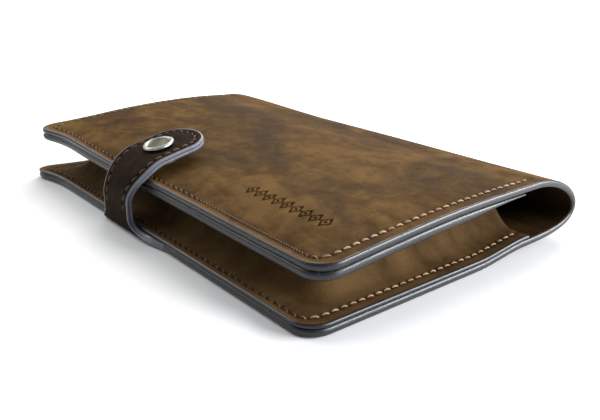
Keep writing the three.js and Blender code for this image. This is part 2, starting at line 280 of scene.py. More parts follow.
def finish_mesh(name, points, faces, attributes, material, body, hides, sharp=40):
    """Makes a piece and attaches it to body, the body it rides. If body instead holds two bodies
    and where the piece goes from one to the other, these are not used: the piece stays unattached,
    with its transform baked in.
    """
    mesh = bpy.data.meshes.new(name)
    place = np.asarray(points, float) * MM
    place[:, 0] += FORE_X
    mesh.from_pydata(place.tolist(), [], faces)
    bm = bmesh.new()
    bm.from_mesh(mesh)
    bmesh.ops.recalc_face_normals(bm, faces=bm.faces)
    bm.to_mesh(mesh)
    bm.free()
    for key, values in attributes.items():
        values = np.asarray(values, np.float32)
        kind = "FLOAT_VECTOR" if values.ndim == 2 else "FLOAT"
        field = "vector" if values.ndim == 2 else "value"
        mesh.attributes.new(key, kind, "POINT").data.foreach_set(field, values.ravel())
    mesh.shade_smooth()
    mesh.set_sharp_from_angle(angle=math.radians(sharp))
    mesh.materials.append(material)
    piece = bpy.data.objects.new(name, mesh)
    bpy.context.scene.collection.objects.link(piece)
    if isinstance(body, str):
        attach(piece, body)
    else:
        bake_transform(piece)
    if hides:
        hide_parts(*hides)
    return piece


class Plan:
    """The outline of a sheet with one open end: side, rounded fore end, side."""

    def __init__(self, fore, end, half, radii, side, across, inner, settle):
        self.fore, self.end, self.half, self.radii = fore, end, half, radii
        self.side, self.across = np.asarray(side, float), np.asarray(across, float)
        self.turn = np.linspace(0, math.pi / 2, ARC_STEPS + 1)
        self.reach = len(self.side) - 1 + ARC_STEPS // 2
        self.width = len(self.across) - 1 + ARC_STEPS
        self.count = 2 * self.reach + self.width + 1
        self.inner, self.settle = inner, settle

    def ring(self, near, fore):
        """The outline moved in by near at the sides and by fore at the fore end."""
        rx, ry = self.radii
        low = self.half - ry
        arc_u = self.fore + rx - (rx - fore) * np.sin(self.turn)
        arc_v = -low - (ry - near) * np.cos(self.turn)
        u = [self.side, arc_u[1:], np.full(len(self.across) - 1, self.fore + fore)]
        v = [np.full(len(self.side), -self.half + near), arc_v[1:], self.across[1:]]
        u += [arc_u[::-1][1:], self.side[::-1][1:]]
        v += [-arc_v[::-1][1:], np.full(len(self.side) - 1, self.half - near)]
        return np.concatenate(u), np.concatenate(v)

    def rectangle(self):
        """The outline of the even grid inside the rings."""
        inner_near, inner_fore = self.inner
        line_u = self.spread(self.side, self.fore + self.settle, self.fore + inner_fore)
        keep, high = max(0.0, self.half - self.settle), self.half - inner_near
        up = self.spread(self.across, keep, high)
        line_v = -self.spread(-up[::-1], keep, high)[::-1]
        return line_u, line_v

    def spread(self, values, keep, last):
        """values with ARC_STEPS / 2 more at their end, evened out between keep and last."""
        kept = values[values <= keep] if last > keep else values[values >= keep]
        rest = len(values) - len(kept) + ARC_STEPS // 2
        return np.concatenate([kept, np.linspace(kept[-1], last, rest + 1)[1:]])


def slab(plan, insets, place, detail):
    """A closed sheet over a plan. insets are (side, fore, share of thickness) of its rings,
    from the outermost in. Three more rings run from the last of them to the even grid."""
    line_u, line_v = plan.rectangle()
    corner_u = np.concatenate([line_u, np.full(plan.width - 1, line_u[-1]), line_u[::-1]])
    low_v, high_v = np.full(plan.reach, line_v[0]), np.full(plan.reach, line_v[-1])
    corner_v = np.concatenate([low_v, line_v, high_v])
    rings, nominal = [], []
    for near, fore, share in insets:
        rings.append(plan.ring(near, fore))
        nominal.append((near, share))
    last_u, last_v = rings[-1]
    for part in (0.34, 0.68, 1.0):
        rings.append((last_u + (corner_u - last_u) * part, last_v + (corner_v - last_v) * part))
        nominal.append((insets[-1][0] + (plan.inner[0] - insets[-1][0]) * part, 1.0))
    n = plan.count
    inner_u, inner_v = np.meshgrid(line_u[:-1], line_v[1:-1], indexing="ij")
    inside = inner_u.size
    columns = [[] for _ in range(6)]  # u, v, inset, share, station and top of each vertex

    def keep(*values):
        for column, value in zip(columns, values):
            column.append(value)

    layout = {}
    total = 0
    for layer in (1, 0):
        ids = []
        for k, (ring_u, ring_v) in enumerate(rings):
            if layer == 0 and k == 0:  # the outermost ring belongs to both layers
                ids.append(layout[1][0][0])
                continue
            ids.append(np.arange(total, total + n))
            total += n
            near, f = nominal[k]
            level = np.full(n, f if layer else 1 - f)
            keep(ring_u, ring_v, np.full(n, near), level, np.arange(n), np.full(n, layer))
        grid = np.zeros((plan.reach + 1, plan.width + 1), int)
        grid[:-1, 1:-1] = np.arange(total, total + inside).reshape(inner_u.shape)
        total += inside
        keep(inner_u.ravel(), inner_v.ravel(), np.full(inside, plan.inner[0] + 5),
             np.full(inside, float(layer)), np.full(inside, -1), np.full(inside, layer))
        ring = ids[-1]
        grid[:, 0] = ring[: plan.reach + 1]
        grid[-1, :] = ring[plan.reach : plan.reach + plan.width + 1]
        grid[:, -1] = ring[plan.reach + plan.width :][::-1]
        layout[layer] = (ids, grid)
    u, v, inset, share, station, top = map(np.concatenate, columns)
    faces, edge = [], {}
    for layer, (ids, grid) in layout.items():
        for a, b in zip(ids, ids[1:]):
            faces += np.stack([a[:-1], a[1:], b[1:], b[:-1]], 1).tolist()
        quads = np.stack([grid[:-1, :-1], grid[1:, :-1], grid[1:, 1:], grid[:-1, 1:]], -1)
        faces += quads.reshape(-1, 4).tolist()
        rim = ids[:-1]
        edge[layer] = [r[0] for r in rim] + grid[0].tolist() + [r[-1] for r in rim][::-1]
    faces += cap(edge[1], edge[0])
    lift, attributes = detail(u, v, inset, station, top)
    x, y, z = place(u, v, share, lift)
    return np.stack([x, y, z], 1), faces, attributes


def cap(upper, lower):
    """Faces between two rows of vertices that meet at their ends."""
    faces = []
    for a, b, c, d in zip(upper, upper[1:], lower[1:], lower):
        loop = list(dict.fromkeys((int(a), int(b), int(c), int(d))))
        if len(loop) > 2:
            faces.append(loop)
    return faces


def sweep(rows, profile, place, detail):
    """A closed strip along rows, with the same rounded profile of (v, share, inset) on each."""
    upper, lower = profile
    ring = upper + lower[::-1][1:-1]
    v, share, inset = (np.array(c, float) for c in zip(*ring))
    count, steps = len(ring), len(rows)
    u = np.repeat(rows, count)
    v, share, inset = (np.tile(c, steps) for c in (v, share, inset))
    ids = np.arange(count * steps).reshape(steps, count)
    after = np.roll(ids, -1, axis=1)
    quads = np.stack([ids[:-1], ids[1:], after[1:], after[:-1]], -1)
    faces = quads.reshape(-1, 4).tolist()
    top = np.tile([1] * len(upper) + [0] * (count - len(upper)), steps)
    for row in (0, -1):
        first = ids[row][: len(upper)].tolist()
        second = [first[0]] + ids[row][len(upper) :][::-1].tolist() + [first[-1]]
        faces += cap(first, second)
    lift, attributes = detail(u, v, inset, None, top)
    x, y, z = place(u, v, share, lift)
    return np.stack([x, y, z], 1), faces, attributes


def rounding(radius=EDGE, steps=4):
    """(inset, share) round the upper half of an edge, from its middle to its top."""
    turns = [math.pi / 2 * i / steps for i in range(steps + 1)]
    return [(radius * (1 - math.cos(a)), 0.5 + 0.5 * math.sin(a)) for a in turns]


def strip_profile(half, spacing, radius=EDGE):
    """The upper and lower half of a strip's section, as (v, share, inset)."""
    edge = rounding(radius)
    flat = [0.8, 1.05, 1.35, 2.1, 3.3]
    inner = np.linspace(-half + 4.2, half - 4.2, max(2, int((2 * half - 8.4) / spacing)) + 1)
    upper = [(-half + d, f, d) for d, f in edge] + [(-half + d, 1.0, d) for d in flat]
    upper += [(v, 1.0, 9.0) for v in inner]
    upper += [(half - d, 1.0, d) for d in flat[::-1]] + [(half - d, f, d) for d, f in edge[::-1]]
    lower = [(v, 1 - f, d) for v, f, d in upper]
    return upper, lower


def seam_rings(seam, fore_seam):
    """Rings of a sewn edge: rounding, crease line, then the seam's groove."""
    rings = [(d, d, f) for d, f in rounding()]
    shift = fore_seam - seam
    rings += [(d, d, 1.0) for d in (0.8, 1.05, CREASE)]
    between = (CREASE + seam - GROOVE) / 2
    rings += [(between, between + shift / 2, 1.0)]
    rings += [(seam + d, fore_seam + d, 1.0) for d in (-GROOVE, 0.0, GROOVE, 0.9)]
    return rings


def plain_rings():
    return [(d, d, f) for d, f in rounding()] + [(d, d, 1.0) for d in (0.8, 1.6, 3.0)]


def leather_detail(seam=None, hole_at=None, hide=None, mark=None, worn=1.0, painted_shade_side=None):
    """The small relief of a piece of leather, and what its material reads.
    Its last argument picks one side of the leather, as (layer, how much darker it is), to darken
    as painted shade."""
    def detail(u, v, inset, station, top):
        upper = top > 0.5
        lift = np.zeros(len(u))
        dark = np.zeros(len(u))
        crease = bump_at(inset, 1.05, 0.28) * upper
        lift -= 0.07 * crease
        wear = worn * bump_at(inset, 0.78, 0.3) * (0.15 + 0.85 * smooth((5 - u) / 4))
        if seam is not None:
            line = bump_at(inset, seam, 0.5) * upper
            hole = hole_at(station) * bump_at(inset, seam, 0.34) * upper
            # The seam's groove and the stitch holes are sunk, and darkened as painted shade.
            lift -= 0.12 * line + 0.34 * hole
            dark += 0.3 * line + 0.7 * hole
        if mark is not None:
            stamped = mark(u, v) * upper
            lift -= 0.34 * stamped
            dark += 0.9 * stamped
        paint = 1 - smooth((inset - 0.38) / 0.35)
        # Painted shade: the chosen side of the leather is darkened, except on its painted edge.
        if painted_shade_side is not None:
            dark += painted_shade_side[1] * (top == painted_shade_side[0]) * (1 - paint)
        hx, hy = hide(u, v)
        return lift, {
            "hide": np.stack([hx, hy, 4.0 * (1 - top)], 1),
            "paint": paint,
            "wear": wear,
            "dark": np.clip(dark, 0, 1),
        }
    return detail


# ---- stamped ornament: a row of small lozenges with a dot in each ----

def lozenges(u, v):
    centre_x, low, high, pitch = 13.0, -58.0, -28.0, 3.35
    count = round((high - low) / pitch)
    at = (v - low) / (high - low) * count
    local = (at - np.floor(at) - 0.5) * (high - low) / count
    across = u - centre_x
    shape = np.abs(local) / 1.6 + np.abs(across) / 2.3
    outline = 1 - smooth((np.abs(shape - 0.82) - 0.15) / 0.12)
    dot = 1 - smooth((np.hypot(local, across) - 0.32) / 0.2)
    inside = (v > low) & (v < high)
    return np.where(inside, np.maximum(outline, dot), 0)


# ---- materials ----

class Graph:
    def __init__(self, name):
        self.material = bpy.data.materials.new(name)
        self.material.use_nodes = True
        self.tree = self.material.node_tree
        self.tree.nodes.clear()
        self.out = self.add("ShaderNodeOutputMaterial")
        self.shader = self.add("ShaderNodeBsdfPrincipled")
        self.tree.links.new(self.shader.outputs[0], self.out.inputs[0])

    def add(self, kind, **settings):
        node = self.tree.nodes.new(kind)
        for key, value in settings.items():
            setattr(node, key, value)
        return node

    def put(self, socket, value):
        if isinstance(value, bpy.types.NodeSocket):
            self.tree.links.new(value, socket)
        elif isinstance(value, (tuple, list)) and len(value) == 3 and socket.type == "RGBA":
            socket.default_value = (*value, 1.0)
        else:
            socket.default_value = value

    def attribute(self, name, vector=False):
        node = self.add("ShaderNodeAttribute", attribute_name=name)
        return node.outputs["Vector" if vector else "Fac"]

    def stretch(self, vector, scale=(1, 1, 1), turn=0.0, move=(0, 0, 0)):
        node = self.add("ShaderNodeMapping", vector_type="POINT")
        self.put(node.inputs["Vector"], vector)
        node.inputs["Scale"].default_value = scale
        node.inputs["Rotation"].default_value = (0, 0, turn)
        node.inputs["Location"].default_value = move
        return node.outputs[0]

    def noise(self, vector, scale, detail=3.0, rough=0.55, distortion=0.0):
        node = self.add("ShaderNodeTexNoise", noise_dimensions="3D")
        self.put(node.inputs["Vector"], vector)
        values = (scale, detail, rough, distortion)
        for key, value in zip(("Scale", "Detail", "Roughness", "Distortion"), values):
            node.inputs[key].default_value = value
        return node.outputs["Fac"]

    def voronoi(self, vector, scale):
        node = self.add("ShaderNodeTexVoronoi", feature="F1")
        self.put(node.inputs["Vector"], vector)
        node.inputs["Scale"].default_value = scale
        return node.outputs["Distance"]

    def math(self, kind, a, b=0.0):
        node = self.add("ShaderNodeMath", operation=kind, use_clamp=False)
        self.put(node.inputs[0], a)
        self.put(node.inputs[1], b)
        return node.outputs[0]

    def span(self, value, low, high, to_low=0.0, to_high=1.0):
        node = self.add("ShaderNodeMapRange", clamp=True)
        keys = ("Value", "From Min", "From Max", "To Min", "To Max")
        for key, item in zip(keys, (value, low, high, to_low, to_high)):
            self.put(node.inputs[key], item)
        return node.outputs[0]

    def mix(self, share, a, b):
        node = self.add("ShaderNodeMix", data_type="RGBA", blend_type="MIX")
        self.put(node.inputs[0], share)
        self.put(node.inputs[6], a)
        self.put(node.inputs[7], b)
        return node.outputs[2]

    def ramp(self, value, stops):
        node = self.add("ShaderNodeValToRGB")
        self.put(node.inputs[0], value)
        while len(node.color_ramp.elements) < len(stops):
            node.color_ramp.elements.new(0.5)
        for element, (place, colour) in zip(node.color_ramp.elements, stops):
            element.position = place
            element.color = (*colour, 1.0)
        return node.outputs[0]

    def scratches(self, vector, turn, along, across, seed, thin):
        """Fine marks: the level lines of a noise that is long one way and short the other."""
        where = self.stretch(vector, (along, across, 1), turn, (seed, seed, 0))
        field = self.noise(where, 1.0, 2.0, 0.5)
        level = self.math("ABSOLUTE", self.math("SUBTRACT", field, 0.5))
        return self.span(level, 0.0, thin, 1.0, 0.0)

    def bump(self, height, strength, distance):
        node = self.add("ShaderNodeBump")
        node.inputs["Strength"].default_value = strength
        node.inputs["Distance"].default_value = distance
        self.put(node.inputs["Height"], height)
        return node.outputs[0]

    def set(self, **inputs):
        for key, value in inputs.items():
            self.put(self.shader.inputs[key.replace("_", " ")], value)


def leather(name, dark, middle, light, edge, seed=0.0):
    """Waxed nubuck: smoky tones, fine nap, hairline scratches, glossy painted edges."""
    g = Graph(name)
    where = g.stretch(g.attribute("hide", vector=True), move=(seed, 2 * seed, 0))
    clouds = g.noise(g.stretch(where, (1.0, 0.5, 1.0), 0.45), 0.052, 5.0, 0.6, 1.1)
    mottle = g.noise(where, 0.19, 5.0, 0.66, 0.4)
    nap = g.noise(where, 4.2, 4.0, 0.72)
    pores = g.voronoi(where, 1.7)
    fine = g.scratches(where, 0.5, 0.035, 0.9, 3.0, 0.010)
    cross = g.scratches(where, -0.9, 0.03, 0.7, 9.0, 0.008)
    steep = g.scratches(where, 1.75, 0.05, 1.4, 17.0, 0.008)
    patch = g.span(g.noise(where, 0.06, 2.0), 0.42, 0.62)
    marks = g.math("MULTIPLY", g.math("MAXIMUM", g.math("MAXIMUM", fine, cross), steep), patch)
    tone = g.math("ADD", g.math("MULTIPLY", clouds, 0.66), g.math("MULTIPLY", mottle, 0.34))
    tone = g.math("ADD", tone, g.math("MULTIPLY", g.math("SUBTRACT", nap, 0.5), 0.34))
    colour = g.ramp(tone, [(0.39, dark), (0.49, middle), (0.62, light)])
    colour = g.mix(g.math("MULTIPLY", marks, 0.3), colour, tuple(1.5 * c for c in light))
    wear = g.math("MULTIPLY", g.attribute("wear"), g.span(mottle, 0.3, 0.7, 0.35, 1.0))
    colour = g.mix(wear, colour, (light[0] * 1.7, light[1] * 1.4, light[2] * 1.2))
    # The dark attribute darkens the colour: painted shade in seam grooves, in stitch holes and on
    # one chosen side, plus the stamped ornament's dark lines.
    shade = g.attribute("dark")
    colour = g.mix(g.math("MULTIPLY", shade, 0.9), colour, tuple(0.16 * c for c in dark))
    fray = g.math("MULTIPLY", g.math("SUBTRACT", mottle, 0.5), 0.7)
    ragged = g.math("ADD", g.attribute("paint"), fray)
    painted = g.span(ragged, 0.42, 0.58)
    scuff = g.span(g.noise(where, 0.9, 3.0), 0.58, 0.72)
    # edge is the edge paint's colour; on the strap it is lightened as a painted reflection.
    paint = g.mix(g.math("MULTIPLY", scuff, 0.4), edge, (0.065, 0.06, 0.06))
    colour = g.mix(painted, colour, paint)
    soft = g.span(clouds, 0.35, 0.65, 0.58, 0.72)
    rough = g.math("ADD", soft, g.math("MULTIPLY", nap, 0.12))
    edge_rough = g.span(scuff, 0.0, 1.0, 0.36, 0.55)
    mixed = g.add("ShaderNodeMix", data_type="FLOAT")
    for socket, value in ((0, painted), (2, rough), (3, edge_rough)):
        g.put(mixed.inputs[socket], value)
    height = g.math("ADD", g.math("MULTIPLY", nap, 0.5), g.math("MULTIPLY", pores, 0.22))
    height = g.math("SUBTRACT", height, g.math("MULTIPLY", marks, 0.35))
    height = g.math("ADD", height, g.math("MULTIPLY", mottle, 1.2))
    quiet = g.math("MULTIPLY", height, g.span(painted, 0, 1, 1.0, 0.5))
    g.set(Base_Color=colour, Roughness=mixed.outputs[0], Normal=g.bump(quiet, 0.6, 0.00014))
    g.set(Specular_IOR_Level=g.span(painted, 0, 1, 0.03, 0.5))
    return g.material


def thread_material():
    g = Graph("waxed_thread")
    where = g.attribute("hide", vector=True)
    tone = g.attribute("tone")
    strands = g.noise(g.stretch(where, (2.0, 2.0, 2.0)), 3.0, 3.0, 0.6)
    # tone runs from dark to pale thread: the thread's own random variation, and painted light and
    # shade set in bead_chain.
    colour = g.mix(tone, (0.052, 0.028, 0.014), (0.60, 0.385, 0.225))
    colour = g.mix(g.span(strands, 0.35, 0.7, 0.0, 0.45), colour, (0.10, 0.055, 0.03))
    g.set(Base_Color=colour, Roughness=g.span(strands, 0.3, 0.7, 0.42, 0.62))
    g.set(Normal=g.bump(strands, 0.5, 0.00006), Specular_IOR_Level=0.3)
    return g.material


def metal(name, rim, centre, rough):
    g = Graph(name)
    where = g.attribute("hide", vector=True)
    ring = g.attribute("tone")
    stain = g.noise(where, 0.9, 5.0, 0.65)
    hair = g.scratches(where, 0.6, 0.4, 6.0, 4.0, 0.02)
    colour = g.mix(ring, centre, rim)
    colour = g.mix(g.span(stain, 0.42, 0.7, 0.0, 0.55), colour, tuple(0.35 * c for c in centre))
    colour = g.mix(g.math("MULTIPLY", hair, 0.25), colour, rim)
    g.set(Base_Color=colour, Metallic=1.0)
    dull = g.span(stain, 0.3, 0.7, rough, rough + 0.2)
    g.set(Roughness=g.math("ADD", dull, g.math("MULTIPLY", hair, 0.08)))
    height = g.math("ADD", stain, g.math("MULTIPLY", hair, -0.5))
    g.set(Normal=g.bump(height, 0.4, 0.00005))
    return g.material


def floor_material():
    g = Graph("pale_floor")
    where = g.add("ShaderNodeTexCoord").outputs["Object"]
    grain = g.noise(where, 40.0, 3.0)
    colour = g.mix(grain, (0.86, 0.865, 0.875), (0.90, 0.90, 0.905))
    g.set(Base_Color=colour, Roughness=g.span(grain, 0.3, 0.7, 0.55, 0.7), Specular_IOR_Level=0.3)
    return g.material


BLACK = (0.009, 0.009, 0.011)
cover_leather = leather(
    "cover_leather", (0.034, 0.0176, 0.0056), (0.062, 0.0322, 0.0092),
    (0.120, 0.0655, 0.0220), BLACK,
)
inner_leather = leather(
    "inner_leather", (0.040, 0.022, 0.0085), (0.068, 0.038, 0.0140),
    (0.104, 0.060, 0.0240), BLACK, seed=61.0,
)
# The strap's edge colour (0.11, 0.115, 0.14) is light bluish grey as a painted reflection on its
# glossy edge paint.
strap_leather = leather(
    "strap_leather", (0.009, 0.0048, 0.0026), (0.019, 0.0105, 0.0058),
    (0.042, 0.0235, 0.012), (0.11, 0.115, 0.14), seed=23.0,
)
thread = thread_material()
brass = metal("antique_brass", (0.40, 0.41, 0.40), (0.135, 0.118, 0.07), 0.27)


# ---- covers ----

def divided(values, steps, low=None, high=None, parts=1):
    """values with each interval cut into steps, and into parts more between low and high."""
    fine = []
    for a, b in zip(values, values[1:]):
        for i in range(steps):
            start, end = a + (b - a) * i / steps, a + (b - a) * (i + 1) / steps
            middle = (start + end) / 2
            more = parts if low is not None and low < middle < high else 1
            fine += [start + (end - start) * k / more for k in range(more)]
    return np.array(fine + [values[-1]])


def hide_of_front(u, v):
    return SPINE_FOOT + spine.length + FRONT_SPINE - u, v


def hide_of_spine(s, v):
    return SPINE_FOOT + s, v


def hide_plain(shift):
    return lambda u, v: (u + shift, v + 0.6 * shift)


def sewn_plan(fore, end_x, extra, fine_u=(None, None), fine_v=(None, None), parts=1):
    """A cover's plan whose places along the sides and fore end fall on the stitch holes.
    The grid is parts times finer inside fine_u by fine_v."""
    start = fore + CORNER
    pitch = (FRONT_SPINE - CORNER) / SIDE_STITCHES
    count = int((end_x - start) / pitch + 0.01)
    marks = [start + pitch * i for i in range(count, -1, -1)]
    side = divided(marks, STEPS, *fine_u, parts)
    beyond = [x for x in extra if x > marks[0] + 0.05]
    side = np.concatenate([sorted(beyond, reverse=True), side])
    spread = np.linspace(-HALF + CORNER, HALF - CORNER, FORE_STITCHES + 1)
    across = divided(spread, STEPS, *fine_v, parts)
    return Plan(fore, side[0], HALF, (CORNER, CORNER), side, across, INNER, SETTLE), marks


def hole_list(plan, marks):
    """The stations of a plan's stitch holes, and a 1 at each of them among all stations."""
    side_holes = [float(np.abs(plan.side - m).argmin()) for m in marks]
    first = len(plan.side) - 1
    spread = np.linspace(plan.across[0], plan.across[-1], FORE_STITCHES + 1)
    fore_holes = [first + ARC_STEPS + int(np.abs(plan.across - m).argmin()) for m in spread]
    arc = [first + ARC_STEPS // 2]
    half = {int(i) for i in side_holes + arc + fore_holes}
    both = half | {plan.count - 1 - i for i in half}
    flags = np.zeros(plan.count)
    flags[sorted(both)] = 1
    return sorted(both), flags


def hole_reader(flags):
    return lambda station: np.where(station >= 0, flags[np.maximum(station, 0)], 0.0)


def bead_chain(name, ends, body, slot, hides, seed, radius=0.24, rise=0.08, pale=1.0):
    """Stitches as separate beads of twisted thread, each between two holes.
    ends holds, for each stitch, its two hole points and the direction off the leather."""
    rng = np.random.default_rng(seed)
    sections, sides, slant, inset = 9, 12, 0.2, 0.18
    t = np.linspace(0, 1, sections)[:, None]
    around = np.linspace(0, 2 * math.pi, sides, endpoint=False)[None]
    points, faces, tones, coords = [], [], [], []
    for number, (a, b, out) in enumerate(ends):
        along = b - a
        length = np.linalg.norm(along)
        along /= length
        across = np.cross(along, out)
        across /= np.linalg.norm(across)
        up = np.cross(across, along)
        bulge = np.sin(math.pi * (0.04 + 0.92 * t)) ** 0.55
        lobes = 1 + 0.10 * np.cos(3 * around + 5.0 * t + rng.uniform(0, 6))
        wide = radius * (0.55 + 0.45 * bulge) * lobes * rng.uniform(0.93, 1.07)
        flat = wide * 0.86
        centre = a + along * length * (inset + (1 - 2 * inset) * t)
        height = rise * rng.uniform(0.8, 1.15)
        centre = centre + up * (height + 0.30) * bulge - up * 0.30
        centre = centre + across * (t - 0.5) * 2 * slant
        ring = (
            centre[:, None]
            + across * (wide * np.cos(around))[..., None]
            + up * (flat * np.sin(around))[..., None]
        )
        base = sum(len(p) for p in points)
        points.append(ring.reshape(-1, 3))
        ids = base + np.arange(sections * sides).reshape(sections, sides)
        after = np.roll(ids, -1, axis=1)
        quads = np.stack([ids[:-1], ids[1:], after[1:], after[:-1]], -1)
        faces += quads.reshape(-1, 4).tolist()
        faces += [ids[0].tolist(), ids[-1][::-1].tolist()]
        # Painted light and shade: stitches across the fore end come out darker than those along
        # the sides, and the far side's stitches darker still; the random factor is the thread's
        # own variation.
        painted_light_along = abs(along[0]) / (abs(along[0]) + abs(along[1]))
        far = 0.3 if a[1] > 0.8 * HALF else 1.0
        tone = pale * far * painted_light_along * rng.uniform(0.45, 1.0)
        tones.append(np.full(sections * sides, tone))
        spiral = (3 * around + 5.0 * t) % (2 * math.pi)
        own = 9.0 * number + 0 * spiral  # sets the stitches apart in the thread's noise
        shift = np.stack([length * t + 0 * around, 0.6 * np.sin(spiral), own], -1)
        coords.append(shift.reshape(-1, 3))
    attributes = {"tone": np.concatenate(tones), "hide": np.concatenate(coords)}
    finish_mesh(name, np.concatenate(points), faces, attributes, thread, body, hides, 60)


def seam_ends(place, u, v):
    """Stitches along holes at u, v on a surface."""
    base = np.stack(place(u, v, np.ones(len(u)), np.zeros(len(u))), 1)
    over = np.stack(place(u, v, np.ones(len(u)), np.ones(len(u))), 1)
    out = over - base
    return [(base[i], base[i + 1], (out[i] + out[i + 1]) / 2) for i in range(len(u) - 1)]


def arrays(place):
    """place, with every coordinate filled out to the same length."""
    def filled(u, v, f, lift):
        return np.broadcast_arrays(*place(np.asarray(u, float), np.asarray(v, float), f, lift))
    return filled


def covers():
    end_front = FRONT_SPINE + (spine.length - spine.nearest(*BEND_ENDS[-1]))
    extra = np.linspace(FRONT_SPINE + 0.4, end_front, 5)
    plan, marks = sewn_plan(0.0, FRONT_SPINE + 0.2, extra, (6.5, 19.0), (-63.0, -24.0), 3)
    stations, flags = hole_list(plan, marks)
    # The front cover's underside gets painted shade.
    detail = leather_detail(SEAM, hole_reader(flags), hide_of_front, lozenges, painted_shade_side=(0, 0.8))
    points, faces, attributes = slab(plan, seam_rings(SEAM, FORE_SEAM), arrays(on_front), detail)
    finish_mesh("front_leather", points, faces, attributes, cover_leather,
                "front", ["front_cover"])
    u, v = plan.ring(SEAM, FORE_SEAM)
    ends = seam_ends(arrays(on_front), u[stations], v[stations])
    bead_chain("front_stitches", ends, "front", "thread", ["front_seam_thread"], 21)

    side = np.linspace(LINING_END, CORNER, 31)
    across = np.linspace(-HALF + CORNER, HALF - CORNER, 65)
    lining_plan = Plan(0.0, LINING_END, HALF, (CORNER, CORNER), side, across, INNER, SETTLE)
    detail = leather_detail(hide=hide_plain(180.0), worn=0.6)
    points, faces, attributes = slab(lining_plan, plain_rings(), arrays(on_lining), detail)
    finish_mesh("lining_leather", points, faces, attributes, inner_leather,
                "front", ["front_lining"])

    extra = [POCKET_MOUTH - 0.9, POCKET_MOUTH - 0.3, POCKET_MOUTH]
    plan, marks = sewn_plan(BACK_FORE, POCKET_MOUTH - 1.6, extra)
    stations, flags = hole_list(plan, marks)
    detail = leather_detail(SEAM, hole_reader(flags), hide_plain(-150.0))
    points, faces, attributes = slab(plan, seam_rings(SEAM, FORE_SEAM), arrays(on_panel), detail)
    finish_mesh("pocket_leather", points, faces, attributes, inner_leather,
                "back", ["pocket_panel"])
    u, v = plan.ring(SEAM, FORE_SEAM)
    ends = seam_ends(arrays(on_panel), u[stations], v[stations])
    bead_chain("pocket_stitches", ends, "back", "thread", ["pocket_seam_thread"], 22)

    end_back = SPINE_FOOT + spine.nearest(*BEND_START)
    round_part = np.linspace(end_back, SPINE_FOOT, 9)[:-1]
    side = np.concatenate([round_part, np.linspace(SPINE_FOOT, BACK_FORE + CORNER, 35)])
    back_plan = Plan(BACK_FORE, end_back, HALF, (CORNER, CORNER), side, across, INNER, SETTLE)
    # The back cover's inner face gets painted shade.
    detail = leather_detail(hide=lambda u, v: (u, v), worn=0.7, painted_shade_side=(1, 0.8))
    points, faces, attributes = slab(back_plan, plain_rings(), arrays(on_back), detail)
    finish_mesh("back_leather", points, faces, attributes, cover_leather,
                "back", ["back_cover"])


def spine_pieces():
    bodies = ["back", "spine_low", "spine_high", "front"]
    nodes = [[], ["spine_lower"], ["spine_upper"]]
    profile = strip_profile(HALF, 2.0)
    start = BEND_START
    for number, end in enumerate(BEND_ENDS):
        low, high = spine.nearest(*start), spine.nearest(*end)
        rows = np.linspace(low, high, max(6, int((high - low) / 0.4)) + 1)
        # The spine's inner face gets painted shade.
        detail = leather_detail(hide=hide_of_spine, worn=0.2, painted_shade_side=(0, 0.85))
        points, faces, attributes = sweep(rows, profile, arrays(on_spine), detail)
        blend = (bodies[number], bodies[number + 1], start, end)
        name = f"spine_bend_{number + 1}"
        finish_mesh(name, points, faces, attributes, cover_leather,
                    blend, nodes[number])
        start = end


# ---- strap ----

def strap_pieces():
    top_end = strap.length - STRAP_SPLIT
    root = ("back", "strap_riser", (-2.9, 0.95), (-4.2, 4.8))
    fold = ("strap_riser", "strap_tab", (-4.1, 10.5), (1.0, 17.6))
    count = int((top_end - TIP_RADIUS) / STRAP_PITCH)
    marks = [TIP_RADIUS + STRAP_PITCH * i for i in range(count, -1, -1)]
    side = np.concatenate([np.linspace(top_end, marks[0], 5)[:-1], divided(marks, STEPS)])
    radii = (TIP_RADIUS, STRAP_HALF_WIDTH)
    plan = Plan(0.0, top_end, STRAP_HALF_WIDTH, radii, side, [0.0], (4.2, 3.6), 13.0)
    first = len(side) - 1
    side_holes = [int(np.abs(side - m).argmin()) for m in marks]
    half = side_holes + [first + 2, first + 4, first + 6, first + 8]
    stations = sorted(set(half) | {plan.count - 1 - i for i in half})
    flags = np.zeros(plan.count)
    flags[stations] = 1
    rings = [(d, d, f) for d, f in rounding(STRAP_EDGE)]
    rings += [(d, d, 1.0) for d in (0.75, 1.0, 1.3, 1.85, 2.2, 2.55, 3.1)]
    profile = strip_profile(STRAP_HALF_WIDTH, 1.0, STRAP_EDGE)
    rows = np.linspace(top_end, strap.length, 26)
    # The strap lining's (0, 0.6) darkens one of its sides as painted shade.
    layers = (("outer", 1, "leather", STRAP_SEAM, None), ("inner", -1, "lining", None, (0, 0.6)))
    for layer, sign, node, seam, painted_shade_side in layers:
        place = arrays(strap_place(sign))
        hide = hide_plain(300.0 + 40 * sign)
        detail = leather_detail(seam, hole_reader(flags), hide, worn=STRAP_WEAR, painted_shade_side=painted_shade_side)
        points, faces, attributes = slab(plan, rings, place, detail)
        finish_mesh(f"strap_upper_{layer}", points, faces, attributes, strap_leather, fold,
                    [f"strap_tab_{node}"])
        detail = leather_detail(hide=hide, worn=STRAP_WEAR, painted_shade_side=painted_shade_side)
        points, faces, attributes = sweep(rows, profile, place, detail)
        finish_mesh(f"strap_lower_{layer}", points, faces, attributes, strap_leather, root,
                    [f"strap_riser_{node}"])
    place = arrays(strap_place(1))
    u, v = plan.ring(STRAP_SEAM, STRAP_SEAM)
    bead_chain("strap_upper_stitches", seam_ends(place, u[stations], v[stations]), fold,
               "thread", ["strap_tab_thread"], 23, *STRAP_THREAD)
    lower = marks[0] + STRAP_PITCH * np.arange(0, 2)
    for name, sign, seed in (("near", -1, 24), ("far", 1, 25)):
        across = np.full(len(lower), sign * (STRAP_HALF_WIDTH - STRAP_SEAM))
        bead_chain(f"strap_lower_stitches_{name}", seam_ends(place, lower, across), root,
                   "thread", [f"strap_thread_{name}"], seed, *STRAP_THREAD)


# ---- snap fastener ----

